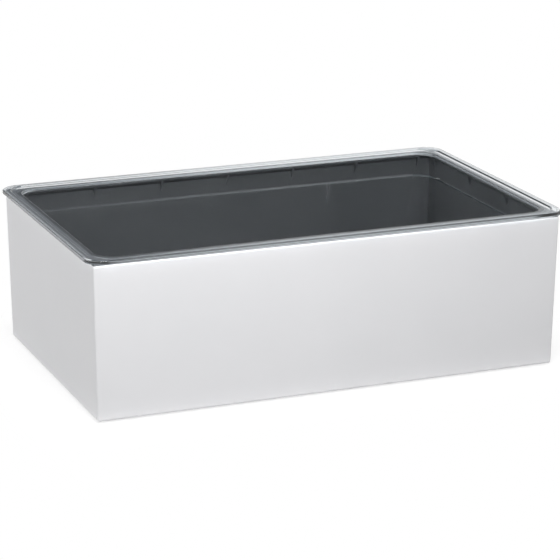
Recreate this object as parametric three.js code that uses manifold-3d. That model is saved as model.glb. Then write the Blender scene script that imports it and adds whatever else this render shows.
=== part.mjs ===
// A countertop ice housing with a clear full-size food pan. The housing is an open-topped moulded box that
// carries the pan by its rim. A perforated drain shelf stands on the pan's floor, above the melt water, and
// lifts out. Four rubber feet sit in pockets under the housing.
// Millimetres. X runs along the long side, Y across it and Z up. The origin is on the counter, under the
// middle of the housing.

import * as THREE from "three";
import { mergeVertices } from "three/addons/utils/BufferGeometryUtils.js";
import Module from "manifold-3d";

const wasm = await Module();
wasm.setup();

// Driving dimensions of the food pan.
const panLength = 530; // along X, over the rim
const panWidth = 325; // along Y, over the rim
const panDepth = 150; // from the rim's top to the floor's underside
const panWall = 3;
const panDraft = THREE.MathUtils.degToRad(4);
const panFloorRadius = 18; // outside, where the wall turns into the floor
const panFloorCorner = 40; // corner radius of the wall's outside, down at the floor

// The straight neck under the flange, and the step that keeps nested pans from jamming.
const neckHeight = 22;
const neckCorner = 24; // corner radius of the neck's outside
const neckStep = 2;

// The pan's rim: a flat flange, a raised bead along its outer edge and a short down-turned lip.
const flangeWidth = 15.5; // from the rim's outer edge to the neck's outside
const flangeThickness = 2.5;
const flangeRootRadius = 2; // underneath, where the flange meets the neck
const flangeMouthRadius = 2.5; // on top, where the flange turns down into the pan
const rimCorner = 18; // corner radius of the rim's outer edge
const beadWidth = 5;
const beadRise = 1.3; // above the flange
const beadRadius = 1.2;
const beadSlope = 2.2; // run of the soft step from the bead down to the flange
const lipThickness = 2.6;
const lipDrop = 0.5; // below the flange's underside
const lipRadius = 0.8;

// Driving dimensions of the housing.
const housingHeight = 166.5; // without its feet
const housingWall = 3;
const housingDraft = THREE.MathUtils.degToRad(0.89);
const housingCorner = 5.5; // corner radius of the walls' outside
const housingFloor = 4;
const housingFloorRadius = 3; // inside, where the wall meets the floor
const housingFootRadius = 3.5; // outside, where the wall turns under the floor
const shoulderRadius = 4.5; // outside, where the wall turns in over the ledge
const ledgeWidth = 6.5; // from the walls' outside to the opening
const ledgeThickness = 3.5;
const ledgeEdge = 0.5; // chamfer round the opening
const openingCorner = 12;
const undersideMargin = 44; // flat border of the underside, which holds the feet
const undersideCorner = 10;
const undersideRecess = 1.2; // of the middle of the underside

// Gussets that stiffen the ledge, between its underside and the wall.
const gussetThickness = 2.4;
const gussetHeight = 14;
const gussetSpacing = 74;
const gussetOverrun = 1; // how far a gusset runs into the wall and the ledge that it stiffens

// Rubber feet.
const footDiameter = 18;
const footProud = 1.5; // below the housing's underside
const footSunk = 1.4; // depth of the pocket that holds it
const footEdge = 0.8;
const footInset = 22; // from the base's edge to the foot's centre

// Drain shelf.
const shelfThickness = 2.6;
const shelfStand = 13; // height of the pillars, from the pan's floor to the plate
const shelfCorner = 30;
const shelfHole = 8.5; // diameter
const shelfPitch = 32; // least distance from hole to hole
const shelfBorder = 19; // from the plate's edge to the outer holes' centres
const shelfRibWidth = 3;
const shelfRibHeight = 3; // of the rib under the plate's edge
const fingerHole = 24; // diameter
const fingerHoleInset = 40; // from the plate's end to the finger hole's centre
const pillarTop = 9; // diameter
const pillarFoot = 7;
const pillarColumnShares = [0, 1 / 3, 2 / 3, 1]; // along X, from the first hole to the last
const pillarRowShares = [0, 1 / 2, 1]; // along Y

// Clearances.
const panClearance = 3; // between the pan's neck and the housing's opening, each side
const seatClearance = 0.3; // under the pan's flange and under the shelf's pillars
const pocketClearance = 0.25; // round and above each foot
const shelfClearance = 2.5; // between the shelf's edge and the pan's wall
const holeMargin = 5; // least land between the finger hole and the drain holes
const cutOverrun = 2; // how far a cutter runs past the face that it opens
const leastCorner = 0.4; // corner radius that a rounded edge leaves where it takes the whole corner

// Facets of a rounded corner, of a rounded edge in a profile, and of a circle.
const cornerFacets = 8;
const edgeFacets = 4;
const circleFacets = 10;
const footFacets = 24;

const finishes = {
  housing: { color: 0xd6d7d9, roughness: 0.38, metalness: 0 },
  clear: { color: 0xe3eaec, roughness: 0.06, metalness: 0, transparent: true, opacity: 0.35 },
  rubber: { color: 0x2a2b2d, roughness: 0.85, metalness: 0 },
};

// One ring of a moulding: a rectangle with rounded corners, `inset` in from the outermost rectangle.
function ringPoints(halfLength, halfWidth, { inset, z, corner }) {
  const points = [];
  const radius = Math.max(corner, leastCorner);
  const centreX = halfLength - inset - radius;
  const centreY = halfWidth - inset - radius;
  const quadrants = [[1, 1], [-1, 1], [-1, -1], [1, -1]];
  quadrants.forEach(([sideX, sideY], quadrant) => {
    for (let k = 0; k <= cornerFacets; k++) {
      const angle = (quadrant + k / cornerFacets) * (Math.PI / 2);
      points.push(
        sideX * centreX + radius * Math.cos(angle),
        sideY * centreY + radius * Math.sin(angle),
        z,
      );
    }
  });
  return points;
}

// A closed shell swept round a rectangle. The profile runs from the middle of the underside, out and up the
// outside, over the rim, down the inside and back to the middle of the floor.
function moulding(length, width, profile) {
  const ringSize = 4 * (cornerFacets + 1);
  const positions = [0, 0, profile[0].z];
  const faces = [];
  for (const row of profile) positions.push(...ringPoints(length / 2, width / 2, row));
  positions.push(0, 0, profile[profile.length - 1].z);
  const last = 1 + ringSize * profile.length;
  for (let k = 0; k < ringSize; k++) {
    const next = (k + 1) % ringSize;
    faces.push(0, 1 + next, 1 + k);
    for (let row = 0; row < profile.length - 1; row++) {
      const low = 1 + row * ringSize;
      const high = low + ringSize;
      faces.push(low + k, low + next, high + next, low + k, high + next, high + k);
    }
    faces.push(last, last - ringSize + k, last - ringSize + next);
  }
  const geometry = new THREE.BufferGeometry();
  geometry.setAttribute("position", new THREE.Float32BufferAttribute(positions, 3));
  geometry.setIndex(faces);
  return geometry;
}

// Points of a rounded edge in a profile, as [inset, z], from one angle to another about its centre.
// Angle 0 points inwards, away from the outer face, and a quarter turn points up.
function roundedEdge(centreInset, centreZ, radius, fromAngle, toAngle) {
  const points = [];
  for (let k = 0; k <= edgeFacets; k++) {
    const angle = fromAngle + ((toAngle - fromAngle) * k) / edgeFacets;
    points.push([centreInset + radius * Math.cos(angle), centreZ + radius * Math.sin(angle)]);
  }
  return points;
}

function solidOf(geometry) {
  const bare = geometry.clone();
  bare.deleteAttribute("normal");
  bare.deleteAttribute("uv");
  const merged = mergeVertices(bare);
  const mesh = new wasm.Mesh({
    numProp: 3,
    vertProperties: merged.attributes.position.array,
    triVerts: new Uint32Array(merged.index.array),
  });
  return new wasm.Manifold(mesh);
}

function geometryOf(solid) {
  const mesh = solid.getMesh();
  const geometry = new THREE.BufferGeometry();
  geometry.setAttribute("position", new THREE.BufferAttribute(mesh.vertProperties, 3));
  geometry.setIndex(new THREE.BufferAttribute(mesh.triVerts, 1));
  return geometry;
}

function piece(name, finish, geometry) {
  const flat = geometry.index ? geometry.toNonIndexed() : geometry;
  flat.computeVertexNormals();
  const mesh = new THREE.Mesh(flat, new THREE.MeshStandardMaterial(finishes[finish]));
  mesh.name = name;
  return mesh;
}

// The pan, with Z counted from the underside of its flange.
const panFloorZ = flangeThickness + beadRise - panDepth;
const neckFootZ = -flangeRootRadius - neckHeight;
const stepFootZ = neckFootZ - neckStep;

// How far the wall's outside lies in from the rim's outer edge, at a height below the neck.
function panWallInset(z) {
  return flangeWidth + neckStep + Math.tan(panDraft) * (stepFootZ - z);
}

// Corner radius of the wall's outside, which grows from the neck to the floor.
function panCorner(z) {
  const share = THREE.MathUtils.clamp((stepFootZ - z) / (stepFootZ - panFloorZ), 0, 1);
  return THREE.MathUtils.lerp(neckCorner, panFloorCorner, share);
}

// Corner radius across the rim: from the outer edge's to the neck's, then concentric with the neck.
function flangeCorner(inset) {
  const share = Math.min(inset / flangeWidth, 1);
  return THREE.MathUtils.lerp(rimCorner, neckCorner, share) - Math.max(inset - flangeWidth, 0);
}

// Round the foot of the pan's wall, outside or, with the wall taken off, inside.
function panFoot(wall) {
  const centreZ = panFloorZ + panFloorRadius;
  const centreInset = panWallInset(centreZ) + panFloorRadius / Math.cos(panDraft);
  const edge = roundedEdge(
    centreInset,
    centreZ,
    panFloorRadius - wall,
    -Math.PI / 2,
    -Math.PI + panDraft,
  );
  return edge.map(([inset, z]) => ({
    inset,
    z,
    corner: panCorner(z) - (inset - panWallInset(z)),
  }));
}

function panProfile() {
  const rimTop = flangeThickness + beadRise;
  const mitre = panWall * Math.tan(Math.PI / 8); // keeps the wall's thickness round the neck's step
  const innerInset = flangeWidth + panWall;
  const rimPoint = ([inset, z]) => ({ inset, z, corner: flangeCorner(inset) });

  const underside = [
    ...roundedEdge(
      flangeWidth - flangeRootRadius,
      -flangeRootRadius,
      flangeRootRadius,
      0,
      Math.PI / 2,
    ),
    [lipThickness + lipDrop, 0],
    [lipThickness, -lipDrop],
  ];
  const outerFace = [
    ...roundedEdge(lipRadius, lipRadius - lipDrop, lipRadius, -Math.PI / 2, -Math.PI),
    ...roundedEdge(beadRadius, rimTop - beadRadius, beadRadius, Math.PI, Math.PI / 2),
  ];
  const beadStep = [];
  for (let k = 0; k <= edgeFacets; k++) {
    const share = k / edgeFacets;
    const drop = (beadRise * (1 - Math.cos(Math.PI * share))) / 2;
    beadStep.push([beadWidth + beadSlope * share, rimTop - drop]);
  }
  const mouth = roundedEdge(
    innerInset - flangeMouthRadius,
    flangeThickness - flangeMouthRadius,
    flangeMouthRadius,
    Math.PI / 2,
    0,
  );
  const outside = [
    ...panFoot(0),
    { inset: flangeWidth + neckStep, z: stepFootZ, corner: neckCorner },
    { inset: flangeWidth, z: neckFootZ, corner: neckCorner },
  ];
  const inside = [
    { inset: innerInset, z: neckFootZ + mitre, corner: neckCorner - panWall },
    { inset: innerInset + neckStep, z: stepFootZ + mitre, corner: neckCorner - panWall },
    ...panFoot(panWall).reverse(),
  ];
  const rim = [...underside, ...outerFace, ...beadStep, ...mouth].map(rimPoint);
  return [...outside, ...rim, ...inside];
}

function makePan() {
  return piece("pan", "clear", moulding(panLength, panWidth, panProfile()));
}

// The housing, with Z counted from its underside. Its size at the top follows the pan's neck.
const openingLength = panLength - 2 * flangeWidth + 2 * panClearance;
const openingWidth = panWidth - 2 * flangeWidth + 2 * panClearance;
const housingLength = openingLength + 2 * ledgeWidth;
const housingWidth = openingWidth + 2 * ledgeWidth;

function housingWallInset(z) {
  return Math.tan(housingDraft) * (housingHeight - z);
}

// A rounded edge of the housing's outside, whose corner radius shrinks as it turns inwards.
function housingEdge(centreZ, radius, fromAngle, toAngle) {
  const centreInset = housingWallInset(centreZ) + radius / Math.cos(housingDraft);
  const points = roundedEdge(centreInset, centreZ, radius, fromAngle, toAngle);
  return points.map(([inset, z]) => ({
    inset,
    z,
    corner: housingCorner - (inset - housingWallInset(z)),
  }));
}

function housingProfile() {
  const wallAngle = -Math.PI + housingDraft; // of the wall's outward normal
  const baseInset = housingWallInset(0);
  const innerCorner = housingCorner - housingWall;
  const slopeFootZ = housingHeight - ledgeThickness - (ledgeWidth - housingWall);
  const innerWall = (z) => housingWallInset(z) + housingWall / Math.cos(housingDraft);
  const floorEdge = roundedEdge(
    innerWall(housingFloor + housingFloorRadius) + housingFloorRadius,
    housingFloor + housingFloorRadius,
    housingFloorRadius,
    -Math.PI,
    -Math.PI / 2,
  );
  const marginEdge = baseInset + undersideMargin;
  return [
    { inset: marginEdge + undersideRecess, z: undersideRecess, corner: undersideCorner },
    { inset: marginEdge, z: 0, corner: undersideCorner },
    ...housingEdge(housingFootRadius, housingFootRadius, -Math.PI / 2, wallAngle),
    ...housingEdge(housingHeight - shoulderRadius, shoulderRadius, Math.PI + housingDraft, Math.PI / 2),
    { inset: ledgeWidth - ledgeEdge, z: housingHeight, corner: openingCorner },
    { inset: ledgeWidth, z: housingHeight - ledgeEdge, corner: openingCorner },
    { inset: ledgeWidth, z: housingHeight - ledgeThickness, corner: openingCorner },
    { inset: innerWall(slopeFootZ), z: slopeFootZ, corner: innerCorner },
    ...floorEdge.map(([inset, z]) => ({ inset, z, corner: innerCorner })),
  ];
}

// A gusset as a thin triangle that stands against the wall, seen along the wall. It points away from the wall
// along +X, and its corner in the angle of wall and ledge is at the origin.
function gussetGeometry() {
  const reach = ledgeWidth - housingWall;
  const outline = new THREE.Shape([
    new THREE.Vector2(-gussetOverrun, gussetOverrun),
    new THREE.Vector2(-gussetOverrun, -gussetHeight),
    new THREE.Vector2(0, -gussetHeight),
    new THREE.Vector2(reach, -reach),
    new THREE.Vector2(reach, gussetOverrun),
  ]);
  const geometry = new THREE.ExtrudeGeometry(outline, {
    depth: gussetThickness,
    bevelEnabled: false,
  });
  geometry.translate(0, 0, -gussetThickness / 2);
  geometry.rotateX(Math.PI / 2);
  return geometry;
}

// Evenly spaced places along a wall, no closer than the spacing.
function evenPlaces(length, spacing) {
  const count = Math.max(2, Math.floor(length / spacing) + 1);
  return Array.from({ length: count }, (_, k) => (k / (count - 1) - 0.5) * length);
}

function gussets() {
  const made = [];
  const z = housingHeight - ledgeThickness;
  const clearLength = openingLength - 2 * (openingCorner + gussetThickness);
  const clearWidth = openingWidth - 2 * (openingCorner + gussetThickness);
  const wallX = housingLength / 2 - housingWall;
  const wallY = housingWidth / 2 - housingWall;
  for (const side of [-1, 1]) {
    for (const x of evenPlaces(clearLength, gussetSpacing)) {
      const gusset = gussetGeometry();
      gusset.rotateZ((-side * Math.PI) / 2);
      gusset.translate(x, side * wallY, z);
      made.push(gusset);
    }
    for (const y of evenPlaces(clearWidth, gussetSpacing)) {
      const gusset = gussetGeometry();
      gusset.rotateZ(side > 0 ? Math.PI : 0);
      gusset.translate(side * wallX, y, z);
      made.push(gusset);
    }
  }
  return made;
}

// Centres of the feet, by the corner that each stands in.
const footPlaceX = housingLength / 2 - housingWallInset(0) - footInset;
const footPlaceY = housingWidth / 2 - housingWallInset(0) - footInset;
const footCorners = {
  foot_front_left: [-footPlaceX, -footPlaceY],
  foot_front_right: [footPlaceX, -footPlaceY],
  foot_back_left: [-footPlaceX, footPlaceY],
  foot_back_right: [footPlaceX, footPlaceY],
};

function upright(radiusFoot, radiusTop, height, facets) {
  const geometry = new THREE.CylinderGeometry(radiusTop, radiusFoot, height, facets);
  geometry.rotateX(Math.PI / 2);
  geometry.translate(0, 0, height / 2);
  return geometry;
}

function makeHousing() {
  let solid = solidOf(moulding(housingLength, housingWidth, housingProfile()));
  for (const gusset of gussets()) solid = solid.add(solidOf(gusset));
  const pocketRadius = footDiameter / 2 + pocketClearance;
  for (const [x, y] of Object.values(footCorners)) {
    const pocket = upright(pocketRadius, pocketRadius, footSunk + cutOverrun, footFacets);
    pocket.translate(x, y, -cutOverrun);
    solid = solid.subtract(solidOf(pocket));
  }
  return piece("housing", "housing", geometryOf(solid));
}

// A round rubber bumper with a softened lower edge, standing on Z = 0.
function makeFoot(name) {
  const radius = footDiameter / 2;
  const height = footProud + footSunk - pocketClearance;
  const profile = [new THREE.Vector2(0, 0)];
  for (let k = 0; k <= edgeFacets; k++) {
    const angle = ((k / edgeFacets) * Math.PI) / 2;
    const along = radius - footEdge + footEdge * Math.sin(angle);
    profile.push(new THREE.Vector2(along, footEdge - footEdge * Math.cos(angle)));
  }
  profile.push(new THREE.Vector2(radius, height), new THREE.Vector2(0, height));
  const geometry = new THREE.LatheGeometry(profile, footFacets);
  geometry.rotateX(Math.PI / 2);
  return piece(name, "rubber", geometryOf(solidOf(geometry)));
}

// The drain shelf, with Z counted from the foot of its pillars. Its outline follows the pan's inside at the
// height of the plate.
const shelfEdgeInset =
  panWallInset(panFloorZ + panWall + seatClearance + shelfStand - shelfRibHeight) +
  panWall / Math.cos(panDraft) +
  shelfClearance;
const shelfHalfLength = panLength / 2 - shelfEdgeInset;
const shelfHalfWidth = panWidth / 2 - shelfEdgeInset;
const fingerHoleX = shelfHalfLength - fingerHoleInset;

function roundedRectangle(Kind, halfLength, halfWidth, corner) {
  const outline = new Kind();
  const x = halfLength - corner;
  const y = halfWidth - corner;
  outline.absarc(x, y, corner, 0, Math.PI / 2);
  outline.absarc(-x, y, corner, Math.PI / 2, Math.PI);
  outline.absarc(-x, -y, corner, Math.PI, (3 * Math.PI) / 2);
  outline.absarc(x, -y, corner, (3 * Math.PI) / 2, 2 * Math.PI);
  return outline;
}

function circle(x, y, diameter) {
  return new THREE.Path().absarc(x, y, diameter / 2, 0, 2 * Math.PI);
}

// Columns and rows of the drain holes.
const holeColumns = evenPlaces(2 * (shelfHalfLength - shelfBorder), shelfPitch);
const holeRows = evenPlaces(2 * (shelfHalfWidth - shelfBorder), shelfPitch);

// Whether a round feature leaves enough land to both finger holes.
function clearOfFingerHoles(x, y, diameter) {
  const gap = Math.hypot(Math.abs(x) - fingerHoleX, y) - (fingerHole + diameter) / 2;
  return gap >= holeMargin;
}

function drainHoles() {
  const places = holeColumns.flatMap((x) => holeRows.map((y) => [x, y]));
  return places.filter(([x, y]) => clearOfFingerHoles(x, y, shelfHole));
}

function extruded(outline, depth) {
  return new THREE.ExtrudeGeometry(outline, {
    depth,
    bevelEnabled: false,
    curveSegments: circleFacets / 2,
  });
}

// The middle between two neighbouring columns or rows of holes, at a share of the way along them.
function betweenHoles(places, share) {
  const k = Math.round(share * (places.length - 2));
  return (places[k] + places[k + 1]) / 2;
}

// Short tapered pillars under the plate, each standing between four drain holes.
function pillars() {
  const made = [];
  for (const shareX of pillarColumnShares)
    for (const shareY of pillarRowShares) {
      const x = betweenHoles(holeColumns, shareX);
      const y = betweenHoles(holeRows, shareY);
      if (!clearOfFingerHoles(x, y, pillarTop)) continue;
      const height = shelfStand + shelfThickness / 2;
      const pillar = upright(pillarFoot / 2, pillarTop / 2, height, circleFacets);
      pillar.translate(x, y, 0);
      made.push(pillar);
    }
  return made;
}

function makeDrainShelf() {
  const plate = roundedRectangle(THREE.Shape, shelfHalfLength, shelfHalfWidth, shelfCorner);
  plate.holes = drainHoles().map(([x, y]) => circle(x, y, shelfHole));
  plate.holes.push(circle(-fingerHoleX, 0, fingerHole), circle(fingerHoleX, 0, fingerHole));
  const plateGeometry = extruded(plate, shelfThickness);
  plateGeometry.translate(0, 0, shelfStand);

  const rib = roundedRectangle(THREE.Shape, shelfHalfLength, shelfHalfWidth, shelfCorner);
  rib.holes = [
    roundedRectangle(
      THREE.Path,
      shelfHalfLength - shelfRibWidth,
      shelfHalfWidth - shelfRibWidth,
      shelfCorner - shelfRibWidth,
    ),
  ];
  const ribGeometry = extruded(rib, shelfRibHeight + shelfThickness / 2);
  ribGeometry.translate(0, 0, shelfStand - shelfRibHeight);

  let solid = solidOf(plateGeometry).add(solidOf(ribGeometry));
  for (const pillar of pillars()) solid = solid.add(solidOf(pillar));
  return piece("drain_shelf", "clear", geometryOf(solid));
}

// Assembly: the feet stand on the counter, the housing on the feet, the pan in the housing and the shelf in
// the pan.
const assembly = new THREE.Group();

const housing = new THREE.Group();
housing.position.z = footProud;
housing.add(makeHousing());
for (const [name, [x, y]] of Object.entries(footCorners)) {
  const foot = makeFoot(name);
  foot.position.set(x, y, -footProud);
  housing.add(foot);
}
assembly.add(housing);

const pan = new THREE.Group();
pan.position.z = housingHeight + seatClearance;
pan.add(makePan());
housing.add(pan);

const shelf = makeDrainShelf();
shelf.position.z = panFloorZ + panWall + seatClearance;
pan.add(shelf);

export default assembly;
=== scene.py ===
import math

import bmesh
import bpy
from mathutils import Matrix, Vector


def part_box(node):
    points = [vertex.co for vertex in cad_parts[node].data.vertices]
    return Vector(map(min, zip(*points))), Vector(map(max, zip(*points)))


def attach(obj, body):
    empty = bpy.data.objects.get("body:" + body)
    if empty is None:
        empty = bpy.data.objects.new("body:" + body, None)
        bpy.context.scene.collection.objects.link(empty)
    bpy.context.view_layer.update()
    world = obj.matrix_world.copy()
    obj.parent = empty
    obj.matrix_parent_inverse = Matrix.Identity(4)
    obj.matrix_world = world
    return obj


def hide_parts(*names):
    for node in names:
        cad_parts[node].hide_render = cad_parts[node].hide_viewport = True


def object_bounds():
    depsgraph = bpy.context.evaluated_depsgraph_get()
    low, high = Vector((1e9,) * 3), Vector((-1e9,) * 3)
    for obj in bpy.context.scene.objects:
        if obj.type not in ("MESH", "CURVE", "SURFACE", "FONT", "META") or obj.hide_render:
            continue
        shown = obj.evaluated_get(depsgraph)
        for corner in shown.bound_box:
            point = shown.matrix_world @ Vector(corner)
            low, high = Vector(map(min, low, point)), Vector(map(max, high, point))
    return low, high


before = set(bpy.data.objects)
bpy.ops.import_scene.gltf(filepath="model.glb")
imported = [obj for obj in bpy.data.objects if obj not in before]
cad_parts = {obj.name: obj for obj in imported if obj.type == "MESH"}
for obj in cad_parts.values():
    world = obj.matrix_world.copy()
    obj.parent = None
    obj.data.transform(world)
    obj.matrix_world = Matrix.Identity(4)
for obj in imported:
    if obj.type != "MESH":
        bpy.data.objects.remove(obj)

cad_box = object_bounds()

MM = 0.001

# Sizes of the pan's profile, in millimetres.
PAN_WALL = 3
PAN_DRAFT = math.radians(4)
PAN_FLOOR_RADIUS = 18
PAN_FLOOR_CORNER = 40
NECK_HEIGHT = 22
NECK_CORNER = 24
NECK_STEP = 2
FLANGE_WIDTH = 13.8
FLANGE_THICKNESS = 2.5
FLANGE_ROOT_RADIUS = 2
FLANGE_MOUTH_RADIUS = 1.4
RIM_CORNER = 18
BEAD_WIDTH = 6.3
BEAD_RISE = 1.3
BEAD_RADIUS = 1.2
BEAD_SLOPE = 1.6
LIP_THICKNESS = 2.6
LIP_DROP = 0.5
LIP_RADIUS = 0.4

# Sizes of the housing's profile, in millimetres.
HOUSING_WALL = 3
HOUSING_DRAFT = math.radians(0.89)
HOUSING_CORNER = 2
HOUSING_FLOOR = 4
HOUSING_FLOOR_RADIUS = 3
HOUSING_FOOT_RADIUS = 3
SHOULDER_RADIUS = 4.5
LEDGE_WIDTH = 6.5
LEDGE_THICKNESS = 3.5
LEDGE_EDGE = 0.5
OPENING_CORNER = 12
UNDERSIDE_MARGIN = 44
UNDERSIDE_CORNER = 10
UNDERSIDE_RECESS = 1.2
GUSSET_THICKNESS = 2.4
GUSSET_HEIGHT = 14
GUSSET_SPACING = 74
GUSSET_OVERRUN = 1
# In from this edge the shoulder and the inside take a near-black colour that paints the shade under the
# pan's rim and inside the housing.
SHADE_EDGE = 0.6  # from the wall to where the outside's colour ends on the shoulder

# Sizes of the feet, in millimetres.
FOOT_POCKET_GAP = 0.25
FOOT_POCKET_DEPTH = 1.4
FOOT_EDGE = 0.8
FOOT_DIMPLE = 0.5
FOOT_NODES = ("foot_front_left", "foot_front_right", "foot_back_left", "foot_back_right")

# Sizes of the drain shelf, in millimetres.
SHELF_THICKNESS = 2.6
SHELF_STAND = 13
SHELF_CORNER = 30
SHELF_HOLE = 8.5
SHELF_PITCH = 32
SHELF_BORDER = 19
SHELF_RIB_WIDTH = 3
SHELF_RIB_HEIGHT = 3
SHELF_EDGE = 0.4
SHELF_EDGE_FACETS = 3
FINGER_HOLE = 24
FINGER_HOLE_INSET = 40
HOLE_MARGIN = 5
PILLAR_TOP = 9
PILLAR_FOOT = 7
PILLAR_COLUMN_SHARES = (0, 1 / 3, 2 / 3, 1)
PILLAR_ROW_SHARES = (0, 1 / 2, 1)

# How far a cutter reaches past what it cuts, and the least radius of a ring's corner, in millimetres.
CUT_OVERRUN = 2
LEAST_CORNER = 0.4

# Facets of a rounded corner, of a rounded edge in a profile, of the pan's floor edge, and of a circle.
CORNER_FACETS = 24
EDGE_FACETS = 10
FLOOR_FACETS = 16
CIRCLE_FACETS = 32

# Shading: the angle above which an edge looks sharp, and how far large faces rule the normals.
SHARP_ANGLE = math.radians(25)
NORMAL_WEIGHT = 100

# The camera: its place in metres, its turn and the lens.
CAMERA_PLACE = Vector((-0.94938, -2.34896, 0.8307))
CAMERA_YAW = math.radians(-22.069)
CAMERA_PITCH = math.radians(16.488)
CAMERA_ROLL = math.radians(0.13)
CAMERA_LENS = 155.97
CAMERA_SENSOR = 36

# Noises in the materials: the scale in repeats per metre, and the detail.
CLOUD_NOISE = (9, 3)
SATIN_NOISE = (420, 4)
RIPPLE_NOISE = (1600, 2)
HAZE_NOISE = (60, 4)
DUST_NOISE = (300, 4)
RUBBER_NOISE = (2500, 2)
NOISE_MIDDLE = (0.3, 0.7)

# The satin plastics: two colours each that the cloudiness runs between, and a roughness.
OUTSIDE_COLOURS = (0.735, 0.735, 0.75), (0.715, 0.717, 0.732)
OUTSIDE_ROUGHNESS = 0.4
# The inside's near-black colours are painted shade inside the housing and on its shoulder under the pan's
# rim.
INSIDE_SHADE_COLOURS = (0.04, 0.042, 0.045), (0.05, 0.052, 0.055)
INSIDE_ROUGHNESS = 0.45
SATIN_SPREAD = 0.04
RIPPLE_DEPTH = 0.012  # in millimetres

# The clear plastics: the pan is polished, and the shelf a little milky.
CLEAR_INDEX = 1.58
CLEAR_TINT = (0.55, 0.62, 0.65)
CLEAR_DENSITY = 50
HAZE_SHARE = 0.5
PAN_ROUGHNESS = 0.03
PAN_CLARITY = 1
SHELF_ROUGHNESS = 0.12
SHELF_CLARITY = 0.86

# What a lamp's light keeps when it goes through the clear plastic.
LAMP_THROUGH = (0.94, 0.95, 0.955)

# The feet's rubber.
RUBBER_COLOURS = (0.02, 0.02, 0.022), (0.05, 0.05, 0.052)
RUBBER_ROUGHNESS = (0.7, 0.9)
RUBBER_DEPTH = 0.03  # in millimetres

# The floor, in metres, with how much light it throws back beside the object and further out.
FLOOR_SIZE = 24
FLOOR_GAP = 0.0002
FLOOR_ROUGHNESS = 0.9
BOUNCE_NEAR = (0.7, 0.7, 0.7)
BOUNCE_FAR = (0.3, 0.3, 0.3)
BOUNCE_REACH = (0, 0.004)

# How the floor shows: its own colour, and the share of plain white, which is whole outside the shadow.
FLOOR_SEEN = (0.98, 0.98, 0.98)
SHADOW_REACH = (0, 0.07)
GLOW_SHARE = 0.78

# The world's light, and the room in reflections: the height of a direction at which it takes over from
# white, the part of the X axis over which its dim side turns light, and the two sides' colours.
WORLD_LIGHT = 0.35
ROOM_FADE = (0.06, 0.26)
ROOM_SIDES = (0.27, 0.37)
ROOM_DIM = (0.22, 0.24, 0.265)
ROOM_LIGHT = (0.8, 0.83, 0.86)

# Lamps: name, place, target and size in metres, and power in watts. Reflections and clear pieces don't
# show the fills.
MAIN_LAMPS = (
    ("key_light", (-0.21, -0.8, 0.95), (-0.05, 0, 0.1), (0.45, 0.45), 13),
    ("left_light", (-1.6, 0.3, 0.7), (-0.25, 0, 0.08), (1, 1), 9.4),
)
FILL_LAMPS = (
    ("right_light", (1.6, 0.3, 0.7), (0.25, 0, 0.08), (1, 1), 8),
    ("back_light", (-0.3, 1.7, 0.8), (0, 0.16, 0.08), (1, 1), 10),
)


def mesh_piece(name, bm, body, slot, material, *replaced):
    """Finishes a mesh as a piece that rides on a body."""
    bmesh.ops.recalc_face_normals(bm, faces=bm.faces)
    mesh = bpy.data.meshes.new(name)
    bm.to_mesh(mesh)
    bm.free()
    mesh.shade_smooth()
    mesh.set_sharp_from_angle(angle=SHARP_ANGLE)
    piece = bpy.data.objects.new(name, mesh)
    bpy.context.scene.collection.objects.link(piece)
    normals = piece.modifiers.new("even_normals", "WEIGHTED_NORMAL")
    normals.keep_sharp = True
    normals.weight = NORMAL_WEIGHT
    mesh.materials.append(material)
    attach(piece, body)
    if replaced:
        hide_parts(*replaced)
    return piece


def lerp(a, b, share):
    return a + (b - a) * share


def arc(centre_inset, centre_z, radius, start, end, facets=EDGE_FACETS):
    """Points of a rounded edge in a profile. Angle 0 points inwards and a quarter turn up."""
    points = []
    for k in range(facets + 1):
        angle = lerp(start, end, k / facets)
        points.append((centre_inset + radius * math.cos(angle), centre_z + radius * math.sin(angle)))
    return points


def ring(bm, half_length, half_width, base_z, row):
    """One ring of a moulding: a rectangle with rounded corners, at a row's inset and height."""
    inset, z, corner = row
    radius = max(corner, LEAST_CORNER)
    centre_x = half_length - inset - radius
    centre_y = half_width - inset - radius
    verts = []
    for quadrant, (side_x, side_y) in enumerate(((1, 1), (-1, 1), (-1, -1), (1, -1))):
        for k in range(CORNER_FACETS + 1):
            angle = (quadrant + k / CORNER_FACETS) * math.pi / 2
            x = side_x * centre_x + radius * math.cos(angle)
            y = side_y * centre_y + radius * math.sin(angle)
            verts.append(bm.verts.new((x * MM, y * MM, (base_z + z) * MM)))
    return verts


def moulding(length, width, base_z, profile):
    """A closed shell swept round a rectangle, with a ring for each row of its profile."""
    bm = bmesh.new()
    rings = [ring(bm, length / 2, width / 2, base_z, row) for row in profile]
    count = len(rings[0])
    for low, high in zip(rings, rings[1:]):
        for k in range(count):
            following = (k + 1) % count
            bm.faces.new((low[k], low[following], high[following], high[k]))
    bm.faces.new(rings[0])
    bm.faces.new(rings[-1])
    return bm


# The pan, with Z counted from the underside of its flange.
pan_low, pan_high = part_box("pan")
PAN_LENGTH = (pan_high.x - pan_low.x) / MM
PAN_WIDTH = (pan_high.y - pan_low.y) / MM
PAN_DEPTH = (pan_high.z - pan_low.z) / MM
PAN_SEAT = pan_high.z / MM - FLANGE_THICKNESS - BEAD_RISE
PAN_FLOOR_Z = FLANGE_THICKNESS + BEAD_RISE - PAN_DEPTH
NECK_FOOT_Z = -FLANGE_ROOT_RADIUS - NECK_HEIGHT
STEP_FOOT_Z = NECK_FOOT_Z - NECK_STEP


def pan_wall_inset(z):
    return FLANGE_WIDTH + NECK_STEP + math.tan(PAN_DRAFT) * (STEP_FOOT_Z - z)


def pan_corner(z):
    share = (STEP_FOOT_Z - z) / (STEP_FOOT_Z - PAN_FLOOR_Z)
    return lerp(NECK_CORNER, PAN_FLOOR_CORNER, min(max(share, 0), 1))


def flange_corner(inset):
    share = min(inset / FLANGE_WIDTH, 1)
    return lerp(RIM_CORNER, NECK_CORNER, share) - max(inset - FLANGE_WIDTH, 0)


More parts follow.
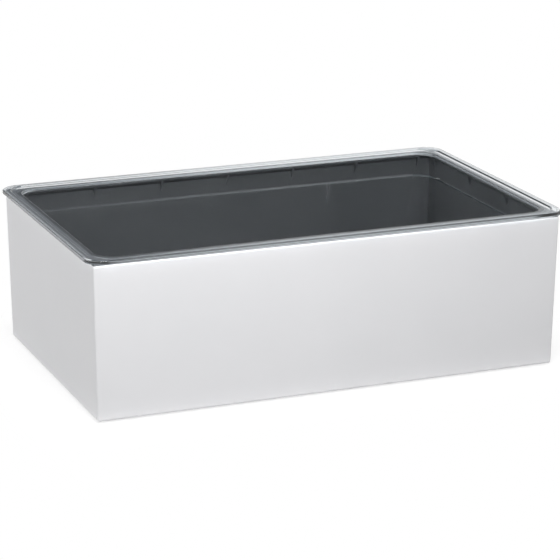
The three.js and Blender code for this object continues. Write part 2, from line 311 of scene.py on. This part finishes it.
def pan_foot(wall):
    centre_z = PAN_FLOOR_Z + PAN_FLOOR_RADIUS
    centre_inset = pan_wall_inset(centre_z) + PAN_FLOOR_RADIUS / math.cos(PAN_DRAFT)
    edge = arc(
        centre_inset, centre_z, PAN_FLOOR_RADIUS - wall, -math.pi / 2, PAN_DRAFT - math.pi, FLOOR_FACETS
    )
    return [(inset, z, pan_corner(z) - (inset - pan_wall_inset(z))) for inset, z in edge]


def pan_profile():
    rim_top = FLANGE_THICKNESS + BEAD_RISE
    mitre = PAN_WALL * math.tan(math.pi / 8)
    inner = FLANGE_WIDTH + PAN_WALL
    rim = arc(FLANGE_WIDTH - FLANGE_ROOT_RADIUS, -FLANGE_ROOT_RADIUS, FLANGE_ROOT_RADIUS, 0, math.pi / 2)
    rim += [(LIP_THICKNESS + LIP_DROP, 0), (LIP_THICKNESS, -LIP_DROP)]
    rim += arc(LIP_RADIUS, LIP_RADIUS - LIP_DROP, LIP_RADIUS, -math.pi / 2, -math.pi)
    rim += arc(BEAD_RADIUS, rim_top - BEAD_RADIUS, BEAD_RADIUS, math.pi, math.pi / 2)
    for k in range(EDGE_FACETS + 1):
        share = k / EDGE_FACETS
        drop = BEAD_RISE * (1 - math.cos(math.pi * share)) / 2
        rim.append((BEAD_WIDTH + BEAD_SLOPE * share, rim_top - drop))
    mouth_z = FLANGE_THICKNESS - FLANGE_MOUTH_RADIUS
    rim += arc(inner - FLANGE_MOUTH_RADIUS, mouth_z, FLANGE_MOUTH_RADIUS, math.pi / 2, 0)
    outside = pan_foot(0)
    outside += [
        (FLANGE_WIDTH + NECK_STEP, STEP_FOOT_Z, NECK_CORNER),
        (FLANGE_WIDTH, NECK_FOOT_Z, NECK_CORNER),
    ]
    inside = [
        (inner, NECK_FOOT_Z + mitre, NECK_CORNER - PAN_WALL),
        (inner + NECK_STEP, STEP_FOOT_Z + mitre, NECK_CORNER - PAN_WALL),
    ]
    inside += reversed(pan_foot(PAN_WALL))
    return outside + [(inset, z, flange_corner(inset)) for inset, z in rim] + inside


def make_pan(material):
    bm = moulding(PAN_LENGTH, PAN_WIDTH, PAN_SEAT, pan_profile())
    return mesh_piece("clear_pan", bm, "pan", "clear_pan", material, "pan")


# The housing, with Z counted from its underside.
housing_low, housing_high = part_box("housing")
HOUSING_BASE = housing_low.z / MM
HOUSING_HEIGHT = (housing_high.z - housing_low.z) / MM
HOUSING_LENGTH = (housing_high.x - housing_low.x) / MM
HOUSING_WIDTH = (housing_high.y - housing_low.y) / MM


def housing_wall_inset(z):
    """How far the wall lies in from its widest ring, which is where the shoulder starts."""
    return math.tan(HOUSING_DRAFT) * (HOUSING_HEIGHT - SHOULDER_RADIUS - z)


def housing_edge(centre_z, radius, start, end):
    centre_inset = housing_wall_inset(centre_z) + radius / math.cos(HOUSING_DRAFT)
    points = arc(centre_inset, centre_z, radius, start, end)
    return [(inset, z, HOUSING_CORNER - (inset - housing_wall_inset(z))) for inset, z in points]


def housing_profile():
    wall_angle = HOUSING_DRAFT - math.pi
    inner_corner = HOUSING_CORNER - HOUSING_WALL
    slope_foot = HOUSING_HEIGHT - LEDGE_THICKNESS - (LEDGE_WIDTH - HOUSING_WALL)
    top = HOUSING_HEIGHT

    def inner_wall(z):
        return housing_wall_inset(z) + HOUSING_WALL / math.cos(HOUSING_DRAFT)

    floor_z = HOUSING_FLOOR + HOUSING_FLOOR_RADIUS
    floor_edge = arc(
        inner_wall(floor_z) + HOUSING_FLOOR_RADIUS, floor_z, HOUSING_FLOOR_RADIUS, -math.pi, -math.pi / 2
    )
    margin = housing_wall_inset(0) + UNDERSIDE_MARGIN
    rows = [(margin + UNDERSIDE_RECESS, UNDERSIDE_RECESS, UNDERSIDE_CORNER), (margin, 0, UNDERSIDE_CORNER)]
    rows += housing_edge(HOUSING_FOOT_RADIUS, HOUSING_FOOT_RADIUS, -math.pi / 2, wall_angle)
    rows += housing_edge(top - SHOULDER_RADIUS, SHOULDER_RADIUS, math.pi + HOUSING_DRAFT, math.pi / 2)
    rows += [
        (LEDGE_WIDTH - LEDGE_EDGE, top, OPENING_CORNER),
        (LEDGE_WIDTH, top - LEDGE_EDGE, OPENING_CORNER),
        (LEDGE_WIDTH, top - LEDGE_THICKNESS, OPENING_CORNER),
        (inner_wall(slope_foot), slope_foot, inner_corner),
    ]
    rows += [(inset, z, inner_corner) for inset, z in floor_edge]
    return rows


def even_places(length, spacing):
    count = max(2, math.floor(length / spacing) + 1)
    return [(k / (count - 1) - 0.5) * length for k in range(count)]


def add_prism(bm, outline, thickness, place, turn):
    """A thin upright prism whose outline lies in its own XZ plane, turned about Z and put in place."""
    spin = Matrix.Rotation(turn, 4, "Z")
    sides = []
    for y in (-thickness / 2, thickness / 2):
        corners = [place + (spin @ Vector((x, y, z))) for x, z in outline]
        sides.append([bm.verts.new(corner * MM) for corner in corners])
    near, far = sides
    bm.faces.new(near)
    bm.faces.new(far)
    for k in range(len(outline)):
        following = (k + 1) % len(outline)
        bm.faces.new((near[k], near[following], far[following], far[k]))


def gusset_mesh():
    reach = LEDGE_WIDTH - HOUSING_WALL
    outline = [
        (-GUSSET_OVERRUN, GUSSET_OVERRUN),
        (-GUSSET_OVERRUN, -GUSSET_HEIGHT),
        (0, -GUSSET_HEIGHT),
        (reach, -reach),
        (reach, GUSSET_OVERRUN),
    ]
    z = HOUSING_BASE + HOUSING_HEIGHT - LEDGE_THICKNESS
    wall_x = HOUSING_LENGTH / 2 - HOUSING_WALL
    wall_y = HOUSING_WIDTH / 2 - HOUSING_WALL
    corner = LEDGE_WIDTH + OPENING_CORNER + GUSSET_THICKNESS
    bm = bmesh.new()
    for side in (-1, 1):
        for x in even_places(HOUSING_LENGTH - 2 * corner, GUSSET_SPACING):
            add_prism(bm, outline, GUSSET_THICKNESS, Vector((x, side * wall_y, z)), -side * math.pi / 2)
        for y in even_places(HOUSING_WIDTH - 2 * corner, GUSSET_SPACING):
            turn = math.pi if side > 0 else 0
            add_prism(bm, outline, GUSSET_THICKNESS, Vector((side * wall_x, y, z)), turn)
    return bm


def add_lathe(bm, profile, centre_x, centre_y):
    """A turned solid about a vertical axis. The profile's first and last points lie on the axis."""
    rings = []
    for radius, z in profile[1:-1]:
        verts = []
        for k in range(CIRCLE_FACETS):
            angle = 2 * math.pi * (k + 0.5) / CIRCLE_FACETS
            x = centre_x + radius * math.cos(angle)
            y = centre_y + radius * math.sin(angle)
            verts.append(bm.verts.new((x * MM, y * MM, z * MM)))
        rings.append(verts)
    for low, high in zip(rings, rings[1:]):
        for k in range(CIRCLE_FACETS):
            following = (k + 1) % CIRCLE_FACETS
            bm.faces.new((low[k], low[following], high[following], high[k]))
    for verts, (_, z) in ((rings[0], profile[0]), (rings[-1], profile[-1])):
        tip = bm.verts.new((centre_x * MM, centre_y * MM, z * MM))
        for k in range(CIRCLE_FACETS):
            bm.faces.new((verts[k], verts[(k + 1) % CIRCLE_FACETS], tip))


def foot_place(node):
    """Centre and radius of a foot, and the heights of its lower and upper ends."""
    low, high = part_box(node)
    centre = (low + high) / 2 / MM
    return centre.x, centre.y, (high.x - low.x) / 2 / MM, low.z / MM, high.z / MM


def combine(base, tool, operation):
    """Joins two closed meshes, or cuts the second from the first, and gives the result as a new mesh."""
    objects = []
    for bm in (base, tool):
        bmesh.ops.recalc_face_normals(bm, faces=bm.faces)
        mesh = bpy.data.meshes.new("blank")
        bm.to_mesh(mesh)
        bm.free()
        blank = bpy.data.objects.new("blank", mesh)
        bpy.context.scene.collection.objects.link(blank)
        objects.append(blank)
    cut = objects[0].modifiers.new("combine", "BOOLEAN")
    cut.operation = operation
    cut.solver = "EXACT"
    cut.object = objects[1]
    graph = bpy.context.evaluated_depsgraph_get()
    result = bmesh.new()
    result.from_object(objects[0], graph)
    for blank in objects:
        bpy.data.objects.remove(blank)
    return result


def make_housing(outside, inside):
    bm = moulding(HOUSING_LENGTH, HOUSING_WIDTH, HOUSING_BASE, housing_profile())
    bm = combine(bm, gusset_mesh(), "UNION")
    pockets = bmesh.new()
    for node in FOOT_NODES:
        x, y, radius, _, _ = foot_place(node)
        wide = radius + FOOT_POCKET_GAP
        low = HOUSING_BASE - CUT_OVERRUN
        high = HOUSING_BASE + FOOT_POCKET_DEPTH
        add_lathe(pockets, [(0, low), (wide, low), (wide, high), (0, high)], x, y)
    bm = combine(bm, pockets, "DIFFERENCE")
    piece = mesh_piece("housing_shell", bm, "housing", "housing_shell", outside, "housing")
    # The second material is painted shade inside the housing and under the pan's rim.
    piece.data.materials.append(inside)
    paint_shade_inside(piece)
    return piece


def paint_shade_inside(piece):
    """Gives the second material, a near-black that paints the shade inside the housing and under the pan's
    rim, to the faces in from the edge of the outside's colour on the shoulder.
    """
    for face in piece.data.polygons:
        x, y, z = (value / MM for value in face.center)
        z -= HOUSING_BASE
        lean = max(housing_wall_inset(z), 0)
        past_x = max(abs(x) - (HOUSING_LENGTH / 2 - lean - HOUSING_CORNER), 0)
        past_y = max(abs(y) - (HOUSING_WIDTH / 2 - lean - HOUSING_CORNER), 0)
        inset = HOUSING_CORNER - math.hypot(past_x, past_y)
        if z > HOUSING_FLOOR / 2 and inset > SHADE_EDGE:
            face.material_index = 1


def make_feet(material):
    for node in FOOT_NODES:
        x, y, radius, low, high = foot_place(node)
        profile = [(0, low + FOOT_DIMPLE), (radius / 2 - FOOT_DIMPLE, low + FOOT_DIMPLE), (radius / 2, low)]
        for k in range(EDGE_FACETS + 1):
            angle = k / EDGE_FACETS * math.pi / 2
            along = radius - FOOT_EDGE + FOOT_EDGE * math.sin(angle)
            profile.append((along, low + FOOT_EDGE - FOOT_EDGE * math.cos(angle)))
        profile += [(radius, high), (0, high)]
        bm = bmesh.new()
        add_lathe(bm, profile, x, y)
        mesh_piece("rubber_" + node, bm, "housing", "foot_rubber", material, node)


# The drain shelf, with Z counted from the foot of its pillars.
shelf_low, shelf_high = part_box("drain_shelf")
SHELF_BASE = shelf_low.z / MM
SHELF_HALF_LENGTH = shelf_high.x / MM
SHELF_HALF_WIDTH = shelf_high.y / MM
FINGER_HOLE_X = SHELF_HALF_LENGTH - FINGER_HOLE_INSET
HOLE_COLUMNS = even_places(2 * (SHELF_HALF_LENGTH - SHELF_BORDER), SHELF_PITCH)
HOLE_ROWS = even_places(2 * (SHELF_HALF_WIDTH - SHELF_BORDER), SHELF_PITCH)


def clear_of_finger_holes(x, y, diameter):
    gap = math.hypot(abs(x) - FINGER_HOLE_X, y) - (FINGER_HOLE + diameter) / 2
    return gap >= HOLE_MARGIN


def shelf_profile(plate_low, plate_high):
    """The plate's edge with the rib under it, from the plate's underside round the rib to its top."""
    edge = SHELF_EDGE
    rib_low = plate_low - SHELF_RIB_HEIGHT
    rows = [(SHELF_RIB_WIDTH, plate_low)]
    rows += arc(SHELF_RIB_WIDTH - edge, rib_low + edge, edge, 0, -math.pi / 2, SHELF_EDGE_FACETS)
    rows += arc(edge, rib_low + edge, edge, -math.pi / 2, -math.pi, SHELF_EDGE_FACETS)
    rows += arc(edge, plate_high - edge, edge, math.pi, math.pi / 2, SHELF_EDGE_FACETS)
    return [(inset, z, SHELF_CORNER - inset) for inset, z in rows]


def hole_profile(diameter, plate_low, plate_high):
    """What a hole with softened edges takes out of the plate."""
    wide = diameter / 2 + SHELF_EDGE
    low_edge = arc(wide, plate_low + SHELF_EDGE, SHELF_EDGE, -math.pi / 2, -math.pi, SHELF_EDGE_FACETS)
    high_edge = arc(wide, plate_high - SHELF_EDGE, SHELF_EDGE, math.pi, math.pi / 2, SHELF_EDGE_FACETS)
    foot = plate_low - CUT_OVERRUN
    top = plate_high + CUT_OVERRUN
    return [(0, foot), (wide, foot), *low_edge, *high_edge, (wide, top), (0, top)]


def between_holes(places, share):
    k = round(share * (len(places) - 2))
    return (places[k] + places[k + 1]) / 2


def make_shelf(material):
    plate_low = SHELF_BASE + SHELF_STAND
    plate_high = plate_low + SHELF_THICKNESS
    bm = moulding(2 * SHELF_HALF_LENGTH, 2 * SHELF_HALF_WIDTH, 0, shelf_profile(plate_low, plate_high))
    holes = bmesh.new()
    for x in HOLE_COLUMNS:
        for y in HOLE_ROWS:
            if clear_of_finger_holes(x, y, SHELF_HOLE):
                add_lathe(holes, hole_profile(SHELF_HOLE, plate_low, plate_high), x, y)
    for x in (-FINGER_HOLE_X, FINGER_HOLE_X):
        add_lathe(holes, hole_profile(FINGER_HOLE, plate_low, plate_high), x, 0)
    bm = combine(bm, holes, "DIFFERENCE")

    pillars = bmesh.new()
    for share_x in PILLAR_COLUMN_SHARES:
        for share_y in PILLAR_ROW_SHARES:
            x = between_holes(HOLE_COLUMNS, share_x)
            y = between_holes(HOLE_ROWS, share_y)
            if not clear_of_finger_holes(x, y, PILLAR_TOP):
                continue
            top = plate_low + SHELF_THICKNESS / 2
            foot = PILLAR_FOOT / 2
            profile = [
                (0, SHELF_BASE),
                (foot - SHELF_EDGE, SHELF_BASE),
                (foot, SHELF_BASE + SHELF_EDGE),
                (PILLAR_TOP / 2, top),
                (0, top),
            ]
            add_lathe(pillars, profile, x, y)
    bm = combine(bm, pillars, "UNION")
    return mesh_piece("clear_drain_shelf", bm, "drain_shelf", "clear_shelf", material, "drain_shelf")


# Materials.


def new_material(name):
    material = bpy.data.materials.new(name)
    material.use_nodes = True
    nodes = material.node_tree.nodes
    links = material.node_tree.links
    return material, nodes, links, nodes["Principled BSDF"]


def object_noise(nodes, links, scale, detail):
    """Noise that is fixed to the piece, at a scale in repeats per metre."""
    place = nodes.new("ShaderNodeTexCoord")
    noise = nodes.new("ShaderNodeTexNoise")
    noise.inputs["Scale"].default_value = scale
    noise.inputs["Detail"].default_value = detail
    links.new(place.outputs["Object"], noise.inputs["Vector"])
    return noise.outputs["Fac"]


def spread(nodes, links, value, low, high):
    """The value, mapped from its middle range to a range of its own."""
    span = nodes.new("ShaderNodeMapRange")
    span.inputs["From Min"].default_value, span.inputs["From Max"].default_value = NOISE_MIDDLE
    span.inputs["To Min"].default_value = low
    span.inputs["To Max"].default_value = high
    links.new(value, span.inputs["Value"])
    return span.outputs["Result"]


def colour_between(nodes, links, value, first, second):
    """A mix of two colours. Each is three numbers or a node's output."""
    mix = nodes.new("ShaderNodeMix")
    mix.data_type = "RGBA"
    for name, colour in (("A", first), ("B", second)):
        if isinstance(colour, tuple):
            mix.inputs[name].default_value = (*colour, 1)
        else:
            links.new(colour, mix.inputs[name])
    links.new(value, mix.inputs["Factor"])
    return mix.outputs["Result"]


def soft_step(nodes, links, value, span, low, high):
    """Goes smoothly from low to high while the value crosses the span."""
    step = nodes.new("ShaderNodeMapRange")
    step.interpolation_type = "SMOOTHSTEP"
    step.inputs["From Min"].default_value, step.inputs["From Max"].default_value = span
    step.inputs["To Min"].default_value = low
    step.inputs["To Max"].default_value = high
    links.new(value, step.inputs["Value"])
    return step.outputs["Result"]


def product(nodes, links, first, second):
    times = nodes.new("ShaderNodeMath")
    times.operation = "MULTIPLY"
    links.new(first, times.inputs[0])
    links.new(second, times.inputs[1])
    return times.outputs[0]


def add_bump(nodes, links, shader, height, depth):
    """A bump of a depth in millimetres."""
    bump = nodes.new("ShaderNodeBump")
    bump.inputs["Distance"].default_value = depth * MM
    links.new(height, bump.inputs["Height"])
    links.new(bump.outputs["Normal"], shader.inputs["Normal"])


def satin_material(name, colours, roughness):
    """Moulded plastic with a fine satin skin, a slight cloudiness and a very shallow ripple."""
    material, nodes, links, shader = new_material(name)
    cloud = object_noise(nodes, links, *CLOUD_NOISE)
    tone = spread(nodes, links, cloud, 0, 1)
    links.new(colour_between(nodes, links, tone, *colours), shader.inputs["Base Color"])
    fine = object_noise(nodes, links, *SATIN_NOISE)
    skin = spread(nodes, links, fine, roughness - SATIN_SPREAD, roughness + SATIN_SPREAD)
    links.new(skin, shader.inputs["Roughness"])
    ripple = object_noise(nodes, links, *RIPPLE_NOISE)
    add_bump(nodes, links, shader, ripple, RIPPLE_DEPTH)
    return material


def clear_material(name, roughness, clarity):
    """Clear polycarbonate: a little cool in the thickness, and milky where its clarity is below 1."""
    material, nodes, links, shader = new_material(name)
    shader.inputs["Base Color"].default_value = (1, 1, 1, 1)
    shader.inputs["Transmission Weight"].default_value = clarity
    shader.inputs["IOR"].default_value = CLEAR_INDEX
    haze = object_noise(nodes, links, *HAZE_NOISE)
    links.new(spread(nodes, links, haze, roughness * HAZE_SHARE, roughness), shader.inputs["Roughness"])
    path = nodes.new("ShaderNodeLightPath")
    through = nodes.new("ShaderNodeBsdfTransparent")
    through.inputs["Color"].default_value = (*LAMP_THROUGH, 1)
    mix = nodes.new("ShaderNodeMixShader")
    links.new(path.outputs["Is Shadow Ray"], mix.inputs["Fac"])
    links.new(shader.outputs["BSDF"], mix.inputs[1])
    links.new(through.outputs["BSDF"], mix.inputs[2])
    links.new(mix.outputs["Shader"], nodes["Material Output"].inputs["Surface"])
    absorb = nodes.new("ShaderNodeVolumeAbsorption")
    absorb.inputs["Color"].default_value = (*CLEAR_TINT, 1)
    absorb.inputs["Density"].default_value = CLEAR_DENSITY
    links.new(absorb.outputs["Volume"], nodes["Material Output"].inputs["Volume"])
    return material


def rubber_material():
    material, nodes, links, shader = new_material("black_rubber")
    dust = object_noise(nodes, links, *DUST_NOISE)
    tone = spread(nodes, links, dust, 0, 1)
    links.new(colour_between(nodes, links, tone, *RUBBER_COLOURS), shader.inputs["Base Color"])
    links.new(spread(nodes, links, dust, *RUBBER_ROUGHNESS), shader.inputs["Roughness"])
    grain = object_noise(nodes, links, *RUBBER_NOISE)
    add_bump(nodes, links, shader, grain, RUBBER_DEPTH)
    return material


# The studio.


def make_floor():
    """A white floor that shows as plain white but keeps the object's shadow."""
    mesh = bpy.data.meshes.new("floor")
    half = FLOOR_SIZE / 2
    corners = [(x * half, y * half, -FLOOR_GAP) for x, y in ((-1, -1), (1, -1), (1, 1), (-1, 1))]
    mesh.from_pydata(corners, [], [(0, 1, 2, 3)])
    floor = bpy.data.objects.new("floor", mesh)
    bpy.context.scene.collection.objects.link(floor)
    material, nodes, links, shader = new_material("white_floor")
    seen = background_rays(nodes, links)
    distance = footprint_distance(nodes, links)
    near = soft_step(nodes, links, distance, BOUNCE_REACH, 0, 1)
    bounce = colour_between(nodes, links, near, BOUNCE_NEAR, BOUNCE_FAR)
    links.new(colour_between(nodes, links, seen, bounce, FLOOR_SEEN), shader.inputs["Base Color"])
    shader.inputs["Roughness"].default_value = FLOOR_ROUGHNESS
    shader.inputs["Specular IOR Level"].default_value = 0
    glow = nodes.new("ShaderNodeEmission")
    glow.inputs["Strength"].default_value = 1
    fade = soft_step(nodes, links, distance, SHADOW_REACH, GLOW_SHARE, 1)
    mix = nodes.new("ShaderNodeMixShader")
    links.new(product(nodes, links, seen, fade), mix.inputs["Fac"])
    links.new(shader.outputs["BSDF"], mix.inputs[1])
    links.new(glow.outputs["Emission"], mix.inputs[2])
    links.new(mix.outputs["Shader"], nodes["Material Output"].inputs["Surface"])
    mesh.materials.append(material)


def footprint_distance(nodes, links):
    """How far a place on the floor lies from the rectangle that the object covers, in metres."""
    place = nodes.new("ShaderNodeTexCoord")
    value = place.outputs["Object"]
    half_size = (cad_box[1][0], cad_box[1][1], 0)
    steps = (("ABSOLUTE", None), ("SUBTRACT", half_size), ("MAXIMUM", (0, 0, 0)), ("LENGTH", None))
    for operation, other in steps:
        step = nodes.new("ShaderNodeVectorMath")
        step.operation = operation
        links.new(value, step.inputs[0])
        if other:
            step.inputs[1].default_value = other
        value = step.outputs["Value" if operation == "LENGTH" else "Vector"]
    return value


def background_rays(nodes, links):
    """1 for rays from the camera, a reflection or a clear piece, and 0 for the rest."""
    path = nodes.new("ShaderNodeLightPath")
    total = path.outputs["Is Camera Ray"]
    for name in ("Is Glossy Ray", "Is Transmission Ray"):
        either = nodes.new("ShaderNodeMath")
        either.operation = "MAXIMUM"
        links.new(total, either.inputs[0])
        links.new(path.outputs[name], either.inputs[1])
        total = either.outputs[0]
    return total


def make_world():
    world = bpy.data.worlds.new("studio")
    bpy.context.scene.world = world
    world.use_nodes = True
    nodes = world.node_tree.nodes
    links = world.node_tree.links
    lit = nodes["Background"]
    lit.inputs["Color"].default_value = (1, 1, 1, 1)
    lit.inputs["Strength"].default_value = WORLD_LIGHT
    seen = nodes.new("ShaderNodeBackground")
    links.new(room_colour(nodes, links), seen.inputs["Color"])
    seen.inputs["Strength"].default_value = 1
    mix = nodes.new("ShaderNodeMixShader")
    links.new(background_rays(nodes, links), mix.inputs["Fac"])
    links.new(lit.outputs["Background"], mix.inputs[1])
    links.new(seen.outputs["Background"], mix.inputs[2])
    links.new(mix.outputs["Shader"], nodes["World Output"].inputs["Surface"])


def room_colour(nodes, links):
    """White up to the horizon, then a room with a dim and a lighter side, which only reflections show."""
    place = nodes.new("ShaderNodeTexCoord")
    parts = nodes.new("ShaderNodeSeparateXYZ")
    links.new(place.outputs["Generated"], parts.inputs["Vector"])
    height = soft_step(nodes, links, parts.outputs["Z"], ROOM_FADE, 0, 1)
    side = soft_step(nodes, links, parts.outputs["X"], ROOM_SIDES, 0, 1)
    walls = colour_between(nodes, links, side, ROOM_DIM, ROOM_LIGHT)
    path = nodes.new("ShaderNodeLightPath")
    unseen = nodes.new("ShaderNodeMath")
    unseen.operation = "SUBTRACT"
    unseen.inputs[0].default_value = 1
    links.new(path.outputs["Is Camera Ray"], unseen.inputs[1])
    share = product(nodes, links, height, unseen.outputs[0])
    return colour_between(nodes, links, share, (1, 1, 1), walls)


def make_softbox(name, place, target, size, power):
    light = bpy.data.lights.new(name, "AREA")
    light.shape = "RECTANGLE"
    light.size, light.size_y = size
    light.energy = power
    lamp = bpy.data.objects.new(name, light)
    lamp.location = place
    lamp.rotation_euler = (Vector(target) - Vector(place)).to_track_quat("-Z", "Y").to_euler()
    bpy.context.scene.collection.objects.link(lamp)
    return lamp


def make_camera():
    data = bpy.data.cameras.new("camera")
    data.sensor_width = CAMERA_SENSOR
    data.lens = CAMERA_LENS
    camera = bpy.data.objects.new("camera", data)
    turn = Matrix.Rotation(CAMERA_YAW, 4, "Z") @ Matrix.Rotation(math.pi / 2 - CAMERA_PITCH, 4, "X")
    camera.matrix_world = Matrix.Translation(CAMERA_PLACE) @ turn @ Matrix.Rotation(CAMERA_ROLL, 4, "Z")
    bpy.context.scene.collection.objects.link(camera)
    bpy.context.scene.camera = camera


make_camera()
make_world()
make_floor()
for lamp in MAIN_LAMPS:
    make_softbox(*lamp)
for lamp in FILL_LAMPS:
    fill = make_softbox(*lamp)
    fill.visible_glossy = False
    fill.visible_transmission = False

outside_paint = satin_material("silver_satin", OUTSIDE_COLOURS, OUTSIDE_ROUGHNESS)
# The inside's material is near-black: painted shade inside the housing and under the pan's rim.
inside_shade_material = satin_material("painted_shade_inside", INSIDE_SHADE_COLOURS, INSIDE_ROUGHNESS)
clear_pan = clear_material("clear_polycarbonate", PAN_ROUGHNESS, PAN_CLARITY)
clear_shelf = clear_material("clear_shelf", SHELF_ROUGHNESS, SHELF_CLARITY)
make_housing(outside_paint, inside_shade_material)
make_feet(rubber_material())
make_pan(clear_pan)
make_shelf(clear_shelf)

scene = bpy.context.scene
scene.view_settings.view_transform = "Standard"
